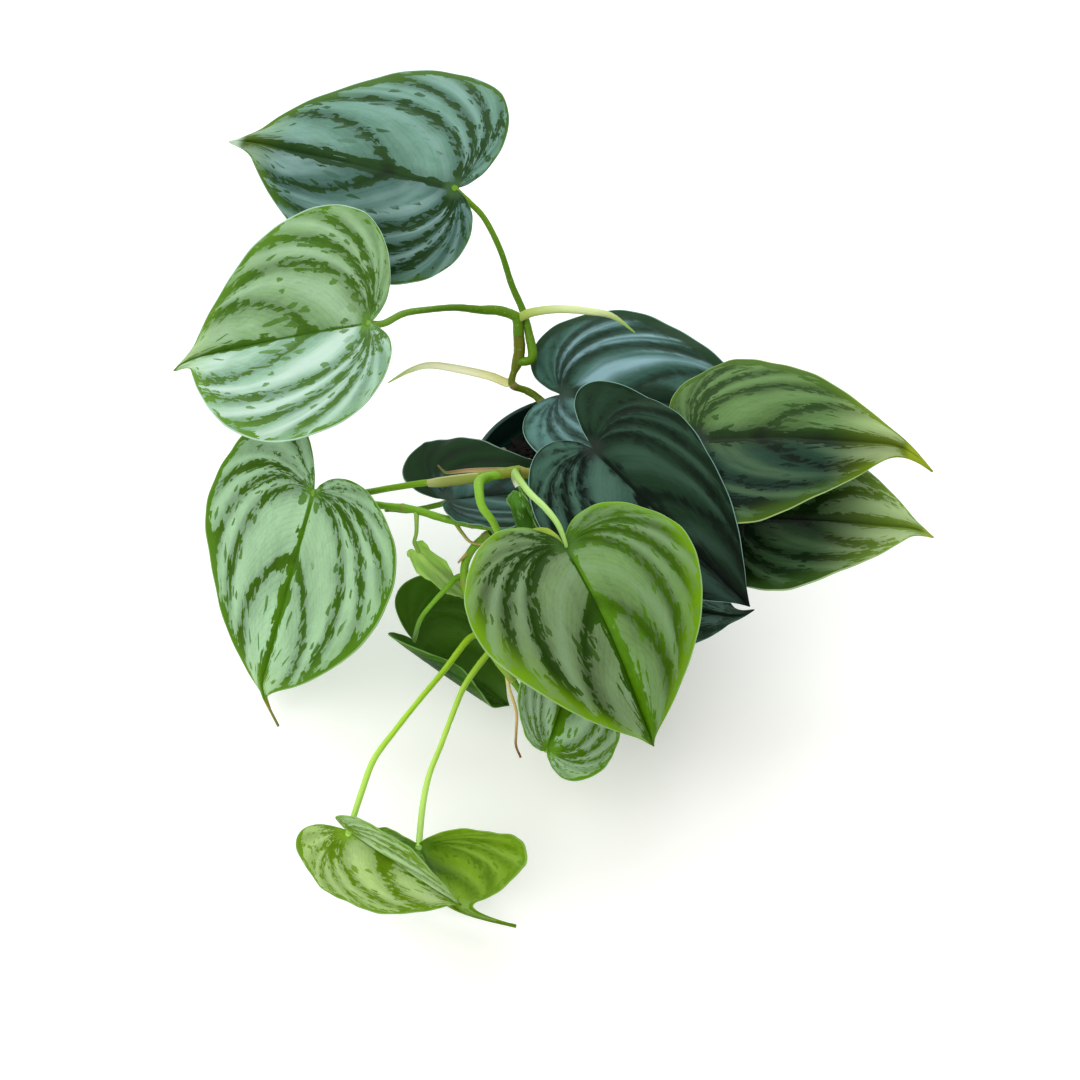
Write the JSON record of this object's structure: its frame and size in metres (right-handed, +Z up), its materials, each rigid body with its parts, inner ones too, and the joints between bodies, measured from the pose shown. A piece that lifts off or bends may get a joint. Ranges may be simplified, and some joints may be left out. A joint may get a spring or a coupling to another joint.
{
  "type": "potted trailing philodendron",
  "caption": "Trailing foliage plant with silver-marked, heart-shaped leaves on long stalks, growing from bark mix in a tapered round nursery pot with drain holes.",
  "frame": {"origin": "middle of the flat underside of the pot", "axes": "+Z up along the pot's axis; -Y towards the side the trailing leaves hang on, +X to the right of it"},
  "size_m": [0.334, 0.3481, 0.1925],
  "materials": {
    "leaf_light": "satin",
    "leaf_mid": "satin",
    "leaf_dark": "satin",
    "stalk_green": "satin",
    "stalk_olive": "satin",
    "sheath_cream": "satin",
    "dried_tan": "matte",
    "bark_soil": "matte",
    "pot_plastic": "satin"
  },
  "bodies": {
    "root": {"pot": "pot_plastic", "soil": "bark_soil", "blade_01": "leaf_dark", "blade_02": "leaf_light", "blade_03": "leaf_light", "blade_04": "leaf_dark", "blade_05": "leaf_dark", "blade_06": "leaf_mid", "blade_07": "leaf_mid", "blade_08": "leaf_dark", "blade_09": "leaf_light", "blade_10": "leaf_dark", "blade_11": "leaf_mid", "blade_12": "leaf_light", "blade_13": "leaf_light", "blade_14": "leaf_light", "blade_15": "leaf_light", "blade_16": "leaf_mid", "stalk_01": "stalk_olive", "stalk_02": "stalk_olive", "stalk_03": "stalk_green", "stalk_04": "stalk_green", "stalk_05": "stalk_green", "stalk_06": "stalk_green", "stalk_07": "stalk_green", "stalk_08": "stalk_green", "stalk_09": "stalk_green", "stalk_10": "stalk_green", "stalk_11": "stalk_green", "stalk_12": "stalk_green", "stalk_13": "stalk_green", "stalk_14": "stalk_green", "stalk_15": "stalk_green", "stalk_16": "stalk_green", "stem_rising": "stalk_olive", "stem_middle": "stalk_olive", "shoot_side": "stalk_green", "stem_trailing": "stalk_green", "sheath_left": "sheath_cream", "sheath_right": "sheath_cream", "sheath_dried": "dried_tan", "root_dried": "dried_tan"}
  },
  "joints": []
}
